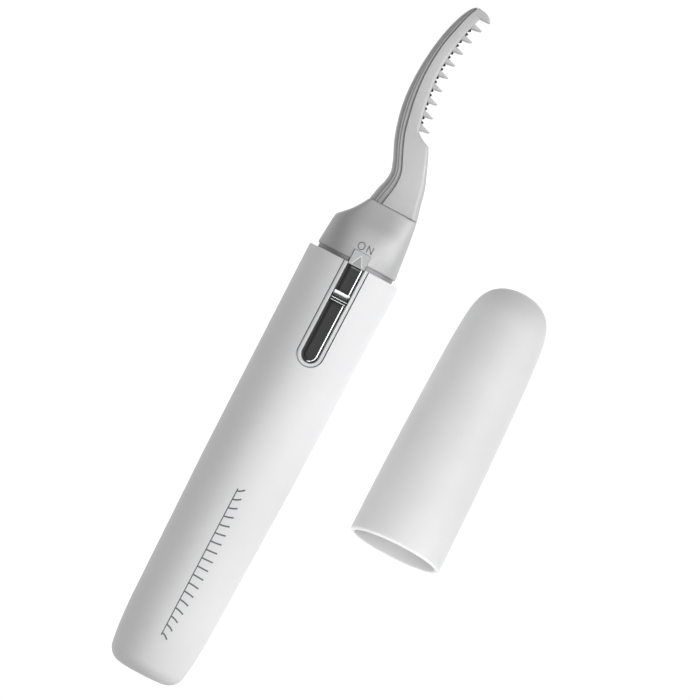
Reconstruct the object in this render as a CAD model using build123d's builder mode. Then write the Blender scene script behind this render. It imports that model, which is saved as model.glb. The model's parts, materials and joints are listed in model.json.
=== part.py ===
"""Heated eyelash curler, pen type, with its cap beside it.

Millimetres. The pen lies on its back: +Y runs from the tail to the comb, +Z is the switch side and
+X is the side that the comb's teeth point to. The origin is the centre of the barrel's flat tail face.
"""
import os
from math import cos, radians, sin

from build123d import *

os.makedirs("parts", exist_ok=True)

# ---- driving dimensions -------------------------------------------------------------------------
barrel_length = 86.8          # tail face to the barrel's open mouth
barrel_half_width = 9.45      # across the switch face, at the mouth
depth_ratio = 0.9             # the section is an ellipse, this much flatter than it is wide
barrel_wall = 1.1
mouth = barrel_length         # heights past the mouth are given as mouth + h

collar_gap = 0.85             # the dark ring between the barrel and the collar
collar_half_width = 8.2
head_joint = 12.6             # collar to comb joint, past the mouth
comb_tip = 53.9               # past the mouth

cell_radius = 5.25            # AAA cell
cell_length = 44.5
cell_start = 5.5              # the cell's flat end, above the tail face
nub_length = 1.0
nub_radius = 1.9
wrapper_thickness = 0.15

bezel_half_width = 2.6
bezel_end = -21.1             # lower end of the bezel, from the mouth
window_half_width = 1.75
switch_travel = 3.0

tooth_count = 9
tooth_first = 28.7            # first tooth, past the mouth
tooth_pitch = 2.69
tooth_length = 2.05
tooth_base = 0.95
turn_count = 25
turn_pitch = 0.89

cap_length = 55.2
cap_wall = 0.9
cap_tilt = 12.0               # the cap lies on its crown, with its mouth raised by this angle
cap_mouth = (31.05, 42.75)    # centre of the cap's mouth, beside the barrel

floor = -barrel_half_width * depth_ratio


def level(height):
    """A plane parallel to the switch face at this height, whose origin is over the barrel's mouth."""
    return Plane(origin=(0, mouth, height), x_dir=(1, 0, 0), z_dir=(0, 0, 1))


def across(distance):
    """A plane across the barrel at this distance from the tail, with +X to its right and +Z up."""
    return Plane(origin=(0, distance, 0), x_dir=(1, 0, 0), z_dir=(0, -1, 0))


def save(piece, name):
    """Label one finished piece and write its file."""
    piece.label = name
    export_step(piece, f"parts/{name}.step")


def slab(x_low, x_high, y_low, y_high, z_low, z_high, mode=Mode.ADD):
    """A box between six limits."""
    middle = ((x_low + x_high) / 2, (y_low + y_high) / 2, (z_low + z_high) / 2)
    with Locations(middle):
        Box(x_high - x_low, y_high - y_low, z_high - z_low, mode=mode)


# ---- barrel sleeve: the battery cover, which pulls off the tail end ------------------------------
slot_clearance = 0.08
tail_flat = 4.4               # radius of the flat tail face
tail_spare = 0.4              # cut off again, which leaves the tail face exactly flat
tail_floor = 1.5              # thickness of the closed end
tail_rounding = 3.2
inner_flat = 4.2
inner_rounding = 2.4
corner_turn = radians(80)     # how far each corner's arc turns before the side takes over
side_line = [(8.45, 13.1), (9.1, 43.3), (barrel_half_width, barrel_length - 2)]
mouth_rounding = 0.15
slot_end_radius = bezel_half_width + slot_clearance


def corner(start_x, start_y, radius, turn):
    """A point on the arc of a corner that starts level at (start_x, start_y)."""
    return (start_x + radius * sin(turn), start_y + radius - radius * cos(turn))


def tail_curve(start_x, start_y, radius, passed, end):
    """Line from a level start round the corner and on through the passed points to the straight side."""
    turned = corner(start_x, start_y, radius, corner_turn)
    ThreePointArc((start_x, start_y), corner(start_x, start_y, radius, corner_turn / 2), turned)
    Spline([turned, *passed, end], tangents=[(cos(corner_turn), sin(corner_turn)), (0.0215, 1)])


with BuildPart() as barrel_sleeve:
    with BuildSketch(Plane.XY):
        with BuildLine():
            Polyline((0, barrel_length), (0, -tail_spare), (tail_flat, -tail_spare), (tail_flat, 0))
            tail_curve(tail_flat, 0, tail_rounding, [(7.9, 4.9), (8.2, 8.0)], side_line[0])
            Polyline(*side_line, (barrel_half_width, barrel_length - mouth_rounding),
                     (barrel_half_width - mouth_rounding, barrel_length), (0, barrel_length))
        make_face()
    revolve(axis=Axis.Y)
    with BuildSketch(Plane.XY):
        with BuildLine():
            Line((0, tail_floor), (inner_flat, tail_floor))
            tail_curve(inner_flat, tail_floor, inner_rounding, [(6.85, 5.4), (7.1, 8.2)], (7.35, 13.7))
            Polyline((7.35, 13.7), *[(x - barrel_wall, y) for x, y in side_line[1:]],
                     (barrel_half_width - barrel_wall, barrel_length), (0, barrel_length), (0, tail_floor))
        make_face()
    revolve(axis=Axis.Y, mode=Mode.SUBTRACT)
    scale(by=(1, 1, depth_ratio))
    slab(-tail_flat - 1, tail_flat + 1, -2 * tail_spare, 0, -tail_flat, tail_flat, mode=Mode.SUBTRACT)
    with BuildSketch(level(4)):
        with Locations((0, bezel_end / 2 + slot_end_radius / 2)):
            Rectangle(2 * slot_end_radius, -bezel_end - slot_end_radius + 2 * slot_clearance)
        with Locations((0, bezel_end + bezel_half_width)):
            Circle(slot_end_radius)
    extrude(amount=6, mode=Mode.SUBTRACT)
save(barrel_sleeve.part, "barrel_sleeve")

# ---- tail contact and spring, held in the sleeve ---------------------------------------------------
plate_back = 1.55             # the contact plate, against the sleeve's closed end
plate_front = 1.95
plate_radius = 3.8
arm_y = (2.7, 2.95)           # the arm that carries the tab out to the return strip
arm_start = 3.2
tab_x = (5.6, 5.9)
tab_end = 6.9
tab_half_height = 1.0

with BuildPart() as tail_contact:
    with BuildSketch(across(plate_back)):
        Circle(plate_radius)
    extrude(amount=-(plate_front - plate_back))
    slab(arm_start, tab_x[1], *arm_y, -tab_half_height, tab_half_height)
    slab(arm_start, arm_start + 0.3, plate_front - 0.1, arm_y[1], -tab_half_height, tab_half_height)
    slab(*tab_x, arm_y[0], tab_end, -tab_half_height, tab_half_height)
save(tail_contact.part, "tail_contact")

spring_wire = 0.25            # radius of the wire
spring_radius = 2.9
with BuildPart() as tail_spring:
    with BuildLine() as coil:
        Helix(pitch=0.95, height=2.8, radius=spring_radius, center=(0, plate_front + spring_wire + 0.02, 0),
              direction=(0, 1, 0), cone_angle=-14)
    with BuildSketch(Plane(origin=coil.line @ 0, z_dir=coil.line % 0)):
        Circle(spring_wire)
    sweep()
save(tail_spring.part, "tail_spring")

# ---- AAA cell -----------------------------------------------------------------------------------------
can_end = cell_start + cell_length - nub_length
can_radius = cell_radius - wrapper_thickness
wrapper_short = 0.4           # the film stops short of each end of the can

with BuildPart() as cell_can:
    with BuildSketch(across(cell_start)):
        Circle(can_radius)
    extrude(amount=-(can_end - cell_start))
    fillet(cell_can.edges().filter_by(GeomType.CIRCLE), radius=0.35)
save(cell_can.part, "cell_can")

with BuildPart() as cell_wrapper:
    with BuildSketch(across(cell_start + wrapper_short)):
        Circle(cell_radius)
        Circle(can_radius, mode=Mode.SUBTRACT)
    extrude(amount=-(can_end - cell_start - 2 * wrapper_short))
save(cell_wrapper.part, "cell_wrapper")

with BuildPart() as cell_nub:
    with BuildSketch(across(can_end)):
        Circle(nub_radius)
    extrude(amount=-nub_length)
    fillet(cell_nub.edges().filter_by(GeomType.CIRCLE).sort_by(Axis.Y)[-1], radius=0.3)
save(cell_nub.part, "cell_nub")

# ---- battery cradle ---------------------------------------------------------------------------------
cradle_inner = 5.45
cradle_outer = 6.1
cradle_start = 9.5
bulkhead_start = 50.4
bulkhead_end = 51.4
frame_half_width = 7.85
window_y = (14, 46)           # the cradle's open side, through which the cell shows
window_half = 3.6
strip_slot = 1.35             # half height of the slot for the return strip
contact_slot = 1.1            # half width of the slot for the contact's tongue

with BuildPart() as battery_cradle:
    with BuildSketch(across(cradle_start)):
        Circle(cradle_outer)
        Circle(cradle_inner, mode=Mode.SUBTRACT)
    extrude(amount=-(bulkhead_start - cradle_start))
    with BuildSketch(across(bulkhead_start)):
        Ellipse(frame_half_width, frame_half_width * depth_ratio)
    extrude(amount=-(bulkhead_end - bulkhead_start))
    slab(-window_half, window_half, *window_y, 2, 8, mode=Mode.SUBTRACT)
    slab(tab_x[0] - 0.3, tab_x[1] + 0.4, cradle_start - 1, bulkhead_end + 1, -strip_slot, strip_slot,
         mode=Mode.SUBTRACT)
    slab(-contact_slot, contact_slot, bulkhead_start - 0.1, bulkhead_end + 0.1, 1.9, 2.4, mode=Mode.SUBTRACT)
save(battery_cradle.part, "battery_cradle")

board_bottom = 1.0
board_top = 2.0
board_start = 53.0
board_end = mouth + 4.5
board_half_width = 5.0
sheet = 0.3                   # thickness of the spring-steel contacts
contact_reach = 56            # both contacts end here, on the board

with BuildPart() as positive_contact:
    slab(-2.5, 2.5, 50.05, 50.05 + sheet, -2.5, board_top + sheet)
    slab(-1.0, 1.0, 50.05 + sheet, contact_reach, board_top, board_top + sheet)
save(positive_contact.part, "positive_contact")

with BuildPart() as return_strip:
    slab(*tab_x, 7, contact_reach, -1.2, board_bottom)
    slab(4.4, tab_x[0], 53.5, contact_reach, board_bottom - sheet, board_bottom)
save(return_strip.part, "return_strip")

# ---- chassis frame inside the barrel's mouth --------------------------------------------------------
frame_wall = 0.9
frame_end = mouth + collar_gap
spigot_half_width = 6.6
spigot_end = mouth + 5.0
deck_top = 5.2                # the flat under the switch
deck_bottom = 4.6
plate_bottom = 5.3
plate_top = 5.7
bezel_bottom = 5.75
oring_y = 57.5
groove_radius = 0.5
boss_places = [(3.6, 58.5 - mouth), (-3.6, -3.2)]
boss_radius = 1.5
boss_length = 6.4
screw_radius = 0.6
rail_x = (2.3, 3.3)           # the two rails that carry the bezel

with BuildPart() as chassis_frame:
    with BuildSketch(Plane.XY):
        with Locations((frame_half_width - frame_wall / 2, (bulkhead_end + frame_end) / 2)):
            Rectangle(frame_wall, frame_end - bulkhead_end)
        with Locations(((spigot_half_width + frame_half_width) / 2 - 0.5, frame_end - 0.6)):
            Rectangle(frame_half_width - spigot_half_width + 1.0, 1.2)
        with Locations((spigot_half_width - frame_wall / 2, (frame_end + spigot_end) / 2 - 0.5)):
            Rectangle(frame_wall, spigot_end - frame_end + 1.0)
        with Locations((frame_half_width, oring_y)):
            Circle(groove_radius, mode=Mode.SUBTRACT)
    revolve(axis=Axis.Y)
    scale(by=(1, 1, depth_ratio))
    slab(-4.55, 4.55, 62, mouth, deck_bottom, deck_top)
    for low, high in (rail_x, (-rail_x[1], -rail_x[0])):
        slab(low, high, mouth - 21, mouth, deck_top, bezel_bottom)
    with BuildSketch(level(board_bottom)):
        with Locations(*boss_places):
            Circle(boss_radius)
    extrude(amount=-boss_length)
    with BuildSketch(level(board_bottom)):
        with Locations(*boss_places):
            Circle(screw_radius)
    extrude(amount=-4, mode=Mode.SUBTRACT)
    with BuildSketch(level(bezel_bottom)):
        with Locations((0, bezel_end / 2 + slot_end_radius / 2)):
            Rectangle(2 * slot_end_radius, -bezel_end - slot_end_radius)
        with Locations((0, bezel_end + bezel_half_width)):
            Circle(slot_end_radius)
    extrude(amount=3, mode=Mode.SUBTRACT)
    slab(-1.85, 1.85, mouth - 0.4, spigot_end + 1, board_top + 0.8, 9, mode=Mode.SUBTRACT)
    slab(-2.3, 2.3, mouth - 0.5, mouth + 2.8, 5.1, 5.9, mode=Mode.SUBTRACT)
    slab(-0.8, 0.8, mouth - 9.0, mouth - 2.6, 4, 6, mode=Mode.SUBTRACT)
save(chassis_frame.part, "chassis_frame")

with BuildPart() as sleeve_oring:
    with BuildSketch(Plane.XY):
        with Locations((frame_half_width, oring_y)):
            Circle(0.4)
        with Locations((frame_half_width + 0.6, oring_y)):
            Rectangle(0.8, 1, mode=Mode.SUBTRACT)
    revolve(axis=Axis.Y)
    scale(by=(1, 1, depth_ratio))
save(sleeve_oring.part, "sleeve_oring")

# ---- circuit board and what is on it -----------------------------------------------------------------
with BuildPart() as circuit_board:
    slab(-board_half_width, board_half_width, board_start, board_end, board_bottom, board_top)
    with BuildSketch(level(board_top)):
        with Locations(*boss_places):
            Circle(screw_radius + 0.15)
    extrude(amount=-(board_top - board_bottom), mode=Mode.SUBTRACT)
save(circuit_board.part, "circuit_board")

screw_head = 0.7
with BuildPart() as board_screws:
    with BuildSketch(level(board_top)):
        with Locations(*boss_places):
            Circle(screw_radius)
    extrude(amount=-4.6)
    with BuildSketch(level(board_top)):
        with Locations(*boss_places):
            Circle(2 * screw_radius)
    extrude(amount=screw_head)
    with BuildSketch(level(board_top + screw_head)):
        with Locations(*boss_places):
            Rectangle(1.5, 0.3)
            Rectangle(0.3, 1.5)
    extrude(amount=-screw_head / 2, mode=Mode.SUBTRACT)
save(board_screws.part, "board_screws")

with BuildPart() as board_components:
    slab(-3.5, -0.5, 60, 63, board_top, board_top + 1.0)
    slab(-3.8, -2.2, 66, 66.9, board_top, board_top + 0.5)
    slab(-3.8, -2.2, 68, 68.9, board_top, board_top + 0.5)
    slab(2.2, 3.8, 66, 66.9, board_top, board_top + 0.5)
save(board_components.part, "board_components")

housing_y = (mouth - 10.0, mouth - 2.0)
actuator_y = mouth - 6.7
with BuildPart() as switch_housing:
    slab(-2.2, 2.2, housing_y[0], housing_y[1], board_top, deck_bottom - 0.1)
    slab(-0.9, 0.9, actuator_y - 1.2, actuator_y + switch_travel + 1.2, 3.3, deck_bottom, mode=Mode.SUBTRACT)
save(switch_housing.part, "switch_housing")

with BuildPart() as indicator_led:
    slab(-0.6, 0.6, mouth + 3.0, mouth + 3.9, board_top, board_top + 0.7)
save(indicator_led.part, "indicator_led")

# ---- switch: bezel fixed in the chassis, plate with knob and actuator that slides --------------------
bezel_proud = 0.12
with BuildPart() as switch_bezel:
    with BuildSketch(Plane.XY):
        with BuildLine():
            Polyline((0, mouth), (0, side_line[1][1]), *[(x + bezel_proud, y) for x, y in side_line[1:]],
                     (barrel_half_width + bezel_proud, mouth), (0, mouth))
        make_face()
    revolve(axis=Axis.Y)
    scale(by=(1, 1, depth_ratio))
    with BuildSketch(level(bezel_bottom)):
        with Locations((0, (bezel_end + bezel_half_width) / 2)):
            Rectangle(2 * bezel_half_width, -bezel_end - bezel_half_width)
        with Locations((0, bezel_end + bezel_half_width)):
            Circle(bezel_half_width)
        with Locations((0, (bezel_end + bezel_half_width) / 2)):
            Rectangle(2 * window_half_width, -bezel_end - bezel_half_width, mode=Mode.SUBTRACT)
        with Locations((0, bezel_end + bezel_half_width)):
            Circle(window_half_width, mode=Mode.SUBTRACT)
    extrude(amount=5, mode=Mode.INTERSECT)
save(switch_bezel.part, "switch_bezel")

with BuildPart() as switch_plate:
    slab(-2.15, 2.15, mouth - 23.7, mouth - 0.7, plate_bottom, plate_top)
save(switch_plate.part, "switch_plate")

knob_y = (mouth - 7.95, mouth - 5.5)
knob_half_width = 1.62
knob_top = 8.2
with BuildPart() as switch_knob:
    with BuildSketch(Plane.YZ.offset(-knob_half_width)):
        with BuildLine():
            Polyline((knob_y[0], plate_top), (knob_y[1], plate_top), (knob_y[1] - 0.15, knob_top - 0.45),
                     (knob_y[1] - 0.75, knob_top), (knob_y[1] - 0.95, knob_top - 0.35),
                     (knob_y[1] - 1.2, knob_top - 0.05), (knob_y[1] - 1.4, knob_top - 0.4),
                     (knob_y[1] - 1.65, knob_top - 0.1), (knob_y[1] - 1.85, knob_top - 0.45),
                     (knob_y[0] + 0.2, knob_top - 0.25), (knob_y[0], plate_top))
        make_face()
    extrude(amount=2 * knob_half_width)
save(switch_knob.part, "switch_knob")

with BuildPart() as switch_actuator:
    slab(-0.6, 0.6, actuator_y - 0.8, actuator_y + 0.8, 3.5, plate_bottom)
save(switch_actuator.part, "switch_actuator")

# ---- indicator lens: the clear pad across the gap, with a light-guide foot ---------------------------
lens_half_width = 1.7
lens_top = 7.75
lens_y = (mouth - 0.2, mouth + 2.75)
with BuildPart() as indicator_lens:
    slab(-lens_half_width, lens_half_width, lens_y[0], lens_y[1], 5.95, lens_top)
    slab(-1.2, 1.2, lens_y[1] - 0.15, lens_y[1] + 1.4, board_top + 0.9, 6.3)
    with BuildSketch(level(lens_top - 0.15)):
        with BuildLine():
            Polyline((-1.0, 0.1), (0, 2.15), (1.0, 0.1), (0.7, 0.1), (0, 1.5), (-0.7, 0.1), (-1.0, 0.1))
        make_face()
    extrude(amount=0.3, mode=Mode.SUBTRACT)
    fillet(indicator_lens.edges().filter_by(Axis.Y).sort_by(Axis.Z)[-2:], radius=0.12)
save(indicator_lens.part, "indicator_lens")

# ---- collar and comb: each piece is its front outline cut to one shared side profile -----------------
# distance past the mouth, half thickness
side_profile = [(collar_gap, collar_half_width * depth_ratio), (7.2, 6.3), (head_joint, 3.9), (20.0, 2.9),
                (30.0, 2.4), (comb_tip + 1, 1.9)]


def side_outline():
    """The shared side profile, as a sketch in the plane of Y and Z at the left of the object."""
    upper = [(mouth + height, half) for height, half in side_profile]
    lower = [(y, -z) for y, z in reversed(upper)]
    with BuildSketch(Plane.YZ.offset(-12)) as outline:
        with BuildLine():
            Spline(upper)
            Line(upper[-1], lower[0])
            Spline(lower)
            Line(lower[-1], upper[0])
        make_face()
    return outline.sketch


def ellipse_across(height, half_width, half_depth, centre=0.0):
    """One ellipse across the barrel, this far past the mouth."""
    with BuildSketch(across(mouth + height)) as section:
        with Locations((centre, 0)):
            Ellipse(half_width, half_depth)
    return section.sketch


collar_hollow = [(-7.6, 7.2), (-5.5, 9.3), (-4.2, 11.2), (-3.4, head_joint)]
collar_side = [(collar_half_width, mouth + collar_gap), (7.75, mouth + 5.0), (6.7, mouth + head_joint)]
spine_outer = [(-3.4, head_joint), (-2.3, 16.6), (-2.5, 20.2), (-4.4, 24.7), (-6.1, 31.6), (-6.45, 38.0),
               (-5.9, 43.4), (-4.1, 50.7), (-2.75, 53.5)]
parting = [(-1.0, head_joint), (-0.3, 17.0), (-0.9, 21.0), (-2.9, 25.2), (-4.5, 32.1), (-5.05, 38.5),
           (-4.65, 44.4), (-3.5, 49.7), (-2.2, comb_tip - 0.12)]
head_right = [(6.7, head_joint), (5.6, 17.0), (4.4, 20.8), (1.9, 26.0)]
root_ends = ((-1.0, 28.35), (-2.8, 39.7), (-1.0, 51.0))
root_radius = ((51.0 - 28.35) ** 2 / 4 + 1.8 ** 2) / (2 * 1.8)


def root_x(height):
    """x of the tooth root line, an arc, at this distance past the mouth."""
    return -2.8 + root_radius - (root_radius ** 2 - (height - 39.7) ** 2) ** 0.5


with BuildPart() as neck_collar:
    with BuildSketch(Plane.XY):
        with BuildLine():
            Spline(collar_side)
            Polyline(collar_side[-1], (0, mouth + head_joint), (0, mouth + collar_gap), collar_side[0])
        make_face()
    revolve(axis=Axis.Y)
    scale(by=(1, 1, depth_ratio))
    extrude(side_outline(), amount=24, mode=Mode.INTERSECT)
    with BuildSketch(level(-12)):
        with BuildLine():
            Spline(collar_hollow)
            Polyline(collar_hollow[-1], (-3.4, 14), (-10, 14), (-10, 7.2), collar_hollow[0])
        make_face()
    extrude(amount=24, mode=Mode.SUBTRACT)
    extrude(ellipse_across(collar_gap, 6.75, 6.08), amount=-4.65, mode=Mode.SUBTRACT)
    extrude(ellipse_across(5.4, 5.6, 4.6), amount=-3.0, mode=Mode.SUBTRACT)
    extrude(ellipse_across(8.3, 3.4, 2.8, 1.0), amount=-2.9, mode=Mode.SUBTRACT)
    slab(0.3, 2.1, mouth + 10.5, mouth + head_joint, -0.9, 0.9, mode=Mode.SUBTRACT)
    slab(-1.75, 1.75, mouth, lens_y[1] + 0.05, 3, 9, mode=Mode.SUBTRACT)
    slab(-1.3, 1.3, mouth + 2.5, mouth + 4.3, 3, 6.4, mode=Mode.SUBTRACT)
save(neck_collar.part, "neck_collar")

with BuildPart() as spine_cover:
    with BuildSketch(level(-12)):
        with BuildLine():
            Spline(spine_outer)
            Line(spine_outer[-1], parting[-1])
            Spline(list(reversed(parting)))
            Line(parting[0], spine_outer[0])
        make_face()
    extrude(amount=24)
    extrude(side_outline(), amount=24, mode=Mode.INTERSECT)
save(spine_cover.part, "spine_cover")

channel = [(0.5, 12.0), (1.9, 12.0), (1.3, 18.2), (-0.9, 28.6), (-2.3, 28.6), (-0.1, 18.0), (0.5, 12.0)]
slot_depth = 1.75
slot_half_height = 1.5
with BuildPart() as comb_body:
    with BuildSketch(level(-12)):
        with BuildLine():
            Spline(parting)
            Line(parting[-1], (-1.75, comb_tip))
            Spline([(-1.75, comb_tip), (0.4, 53.2), (1.4, 52.1)], tangents=[(1, 0.05), (0.2, -1)])
            Line((1.4, 52.1), (-0.65, 52.1))
            Line((-0.65, 52.1), root_ends[2])
            ThreePointArc(root_ends[2], root_ends[1], root_ends[0])
            Spline([root_ends[0], (-0.1, 27.2), (1.9, 26.0)], tangents=[(0.25, -1), (0.6, -1)])
            Spline(list(reversed(head_right)))
            Line(head_right[0], parting[0])
        make_face()
    extrude(amount=24)
    extrude(side_outline(), amount=24, mode=Mode.INTERSECT)
    with BuildSketch(level(-slot_half_height)):
        with BuildLine():
            Line((3, 28.2), (3, 51.6))
            Line((3, 51.6), (root_x(51.6) - slot_depth, 51.6))
            ThreePointArc((root_x(51.6) - slot_depth, 51.6), (-2.8 - slot_depth, 39.7),
                          (root_x(28.2) - slot_depth, 28.2))
            Line((root_x(28.2) - slot_depth, 28.2), (3, 28.2))
        make_face()
    extrude(amount=2 * slot_half_height, mode=Mode.SUBTRACT)
    with BuildSketch(level(-0.9)):
        with BuildLine():
            Polyline(*channel)
        make_face()
    extrude(amount=1.8, mode=Mode.SUBTRACT)
save(comb_body.part, "comb_body")

# ---- two tooth strips in the comb's slot, one on each side of the heater ------------------------------
strip_inner = 0.8
strip_depth = 1.5


def tooth(number):
    """Outline of one tooth: a flat lower flank, a sloping upper flank and a blunt tip."""
    height = tooth_first + number * tooth_pitch
    root = root_x(height) - 0.2
    tip = root + 0.2 + tooth_length
    return [(root, height - 0.5 * tooth_base), (tip - 0.12, height - 0.08), (tip, height + 0.02),
            (tip - 0.12, height + 0.12), (root + 0.9, height + 0.42 * tooth_base),
            (root, height + 0.72 * tooth_base), (root, height - 0.5 * tooth_base)]


for name, start in (("tooth_strip_front", strip_inner), ("tooth_strip_back", -slot_half_height)):
    with BuildPart() as tooth_strip:
        with BuildSketch(level(start)):
            with BuildLine():
                ThreePointArc((root_x(51.4), 51.4), root_ends[1], (root_x(28.35), 28.35))
                Line((root_x(28.35), 28.35), (root_x(28.35) - strip_depth, 28.35))
                ThreePointArc((root_x(28.35) - strip_depth, 28.35), (-2.8 - strip_depth, 39.7),
                              (root_x(51.4) - strip_depth, 51.4))
                Line((root_x(51.4) - strip_depth, 51.4), (root_x(51.4), 51.4))
            make_face()
            for number in range(tooth_count):
                with BuildLine():
                    Polyline(*tooth(number))
                make_face()
        extrude(amount=slot_half_height - strip_inner)
    save(tooth_strip.part, name)

# ---- heater: a curved bar wound with wire, its turns just proud of the comb's edge --------------------
bar_half_height = 0.4
bar_depth = 1.2
turn_width = 0.36
turn_thickness = 0.22
turn_first = 28.95

with BuildPart() as heater_bar:
    with BuildSketch(level(-bar_half_height)):
        with BuildLine():
            ThreePointArc((root_x(51.3), 51.3), root_ends[1], (root_x(28.5), 28.5))
            Line((root_x(28.5), 28.5), (root_x(28.5) - bar_depth, 28.5))
            ThreePointArc((root_x(28.5) - bar_depth, 28.5), (-2.8 - bar_depth, 39.7),
                          (root_x(51.3) - bar_depth, 51.3))
            Line((root_x(51.3) - bar_depth, 51.3), (root_x(51.3), 51.3))
        make_face()
    extrude(amount=2 * bar_half_height)
save(heater_bar.part, "heater_bar")

with BuildPart() as heater_winding:
    for number in range(turn_count):
        height = turn_first + number * turn_pitch
        outside = root_x(height) + 0.32
        slab(outside - 0.3, outside, mouth + height - turn_width / 2, mouth + height + turn_width / 2,
             -bar_half_height - turn_thickness, bar_half_height + turn_thickness)
        for side in (-1, 1):
            low = side * bar_half_height
            high = side * (bar_half_height + turn_thickness)
            slab(outside - bar_depth, outside - 0.3, mouth + height - turn_width / 2,
                 mouth + height + turn_width / 2, min(low, high), max(low, high))
save(heater_winding.part, "heater_winding")

lead_radius = 0.3
lead_spacing = 0.45           # each lead's distance from the comb's middle plane
for name, side, start in (("heater_lead_front", 1, 1.5), ("heater_lead_back", -1, 2.6)):
    with BuildPart() as heater_lead:
        with BuildLine() as route:
            FilletPolyline((start, mouth + 3.3, board_top + lead_radius),
                           (start, mouth + 5.4, board_top + lead_radius),
                           (1.2, mouth + 11.0, side * lead_spacing), (1.2, mouth + 13.0, side * lead_spacing),
                           (0.6, mouth + 18.0, side * lead_spacing), (-1.7, mouth + 28.3, side * lead_spacing),
                           radius=1.2)
        with BuildSketch(Plane(origin=route.line @ 0, z_dir=route.line % 0)):
            Circle(lead_radius)
        sweep()
    save(heater_lead.part, name)

# ---- cap, built upright in its own frame and then laid beside the barrel ------------------------------
cap_half_width = 9.3
cap_side = [(cap_half_width, 0.3), (8.72, 35.0), (8.05, 46.8)]
cap_shoulder = [(8.05, 46.8), (6.4, 52.4), (0, cap_length)]

with BuildPart() as cap_upright:
    with BuildSketch(Plane.XY):
        with BuildLine():
            Polyline((0, 0), (cap_half_width - 0.3, 0), (cap_half_width, 0.3))
            Spline(cap_side, tangents=[(0, 1), (-0.1, 1)])
            Spline(cap_shoulder, tangents=[(-0.1, 1), (-1, 0)])
            Line((0, cap_length), (0, 0))
        make_face()
    revolve(axis=Axis.Y)
    with BuildSketch(Plane.XY):
        with BuildLine():
            Line((0, 0), (cap_half_width - cap_wall, 0))
            Spline([(cap_half_width - cap_wall, 0), (8.72 - cap_wall, 35.0), (8.05 - cap_wall, 46.4)],
                   tangents=[(0, 1), (-0.1, 1)])
            Spline([(8.05 - cap_wall, 46.4), (5.75, 51.6), (0, cap_length - cap_wall)],
                   tangents=[(-0.1, 1), (-1, 0)])
            Line((0, cap_length - cap_wall), (0, 0))
        make_face()
    revolve(axis=Axis.Y, mode=Mode.SUBTRACT)
    scale(by=(1, 1, depth_ratio))

tilt = radians(cap_tilt)
cap_level = Plane(origin=(cap_mouth[0], cap_mouth[1], 0), x_dir=(1, 0, 0), z_dir=(0, sin(tilt), cos(tilt)))
lying_cap = cap_level.location * cap_upright.part
rise = floor - lying_cap.bounding_box().min.Z
save(Location((0, 0, rise)) * lying_cap, "cap")
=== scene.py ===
"""Heated eyelash curler with its cap: camera, light, materials and detailed pieces around the CAD frame."""
import json
from math import cos, pi, radians, sin, sqrt

import bmesh
import bpy
from mathutils import Matrix, Vector


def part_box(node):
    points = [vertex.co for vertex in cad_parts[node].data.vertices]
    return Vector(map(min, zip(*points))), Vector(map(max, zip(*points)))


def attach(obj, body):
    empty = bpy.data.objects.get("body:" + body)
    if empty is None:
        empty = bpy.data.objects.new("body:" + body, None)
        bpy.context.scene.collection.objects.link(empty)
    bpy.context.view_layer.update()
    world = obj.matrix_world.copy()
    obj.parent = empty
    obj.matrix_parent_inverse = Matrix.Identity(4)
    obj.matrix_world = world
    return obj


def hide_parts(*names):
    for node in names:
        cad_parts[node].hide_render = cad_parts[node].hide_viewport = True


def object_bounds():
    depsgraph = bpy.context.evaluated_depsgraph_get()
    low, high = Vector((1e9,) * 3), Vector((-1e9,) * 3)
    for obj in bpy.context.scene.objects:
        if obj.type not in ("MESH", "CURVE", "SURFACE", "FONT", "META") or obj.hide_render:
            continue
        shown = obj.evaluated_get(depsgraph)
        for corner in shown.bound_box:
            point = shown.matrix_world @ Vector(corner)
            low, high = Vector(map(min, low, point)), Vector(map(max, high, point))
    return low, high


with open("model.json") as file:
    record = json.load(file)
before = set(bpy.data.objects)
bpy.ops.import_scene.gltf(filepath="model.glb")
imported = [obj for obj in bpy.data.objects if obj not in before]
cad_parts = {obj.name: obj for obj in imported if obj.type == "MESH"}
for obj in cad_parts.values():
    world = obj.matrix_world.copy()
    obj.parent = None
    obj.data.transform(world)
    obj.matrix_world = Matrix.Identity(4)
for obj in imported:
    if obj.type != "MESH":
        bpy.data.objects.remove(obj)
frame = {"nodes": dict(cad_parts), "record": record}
cad_box = [[float(v) for v in corner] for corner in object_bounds()]

MM = 0.001
nodes = frame["nodes"]
scene = bpy.context.scene
scene.view_settings.view_transform = "Standard"

# ---- landmarks from the frame --------------------------------------------------------------------------
sleeve_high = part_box("barrel_sleeve")[1]
collar_low, collar_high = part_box("neck_collar")
comb_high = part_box("comb_body")[1]
mouth = sleeve_high.y
floor_z = cad_box[0][2]

# ---- materials -----------------------------------------------------------------------------------------
noise_low, noise_high = 0.3, 0.7       # most of a noise texture's values lie between these
blotch_scale = 60                      # features per metre: faint blotches of colour,
smear_scale = 240                      # patches of more and less sheen,
scratch_scale = 2500                   # scratches in metal,
ripple_scale = 3000                    # ripples on clear plastic,
grain_scale = 6000                     # and moulded grain
smear_stretch = (1, 0.35, 1)           # the sheen's patches are longer along the pen
soak_depth = 0.002                     # metres that light soaks into a thin pale wall


def new_material(name):
    """An empty node material: returns it with its node tree and its Principled shader."""
    made = bpy.data.materials.new(name)
    made.use_nodes = True
    tree = made.node_tree
    return made, tree, tree.nodes["Principled BSDF"]


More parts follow.
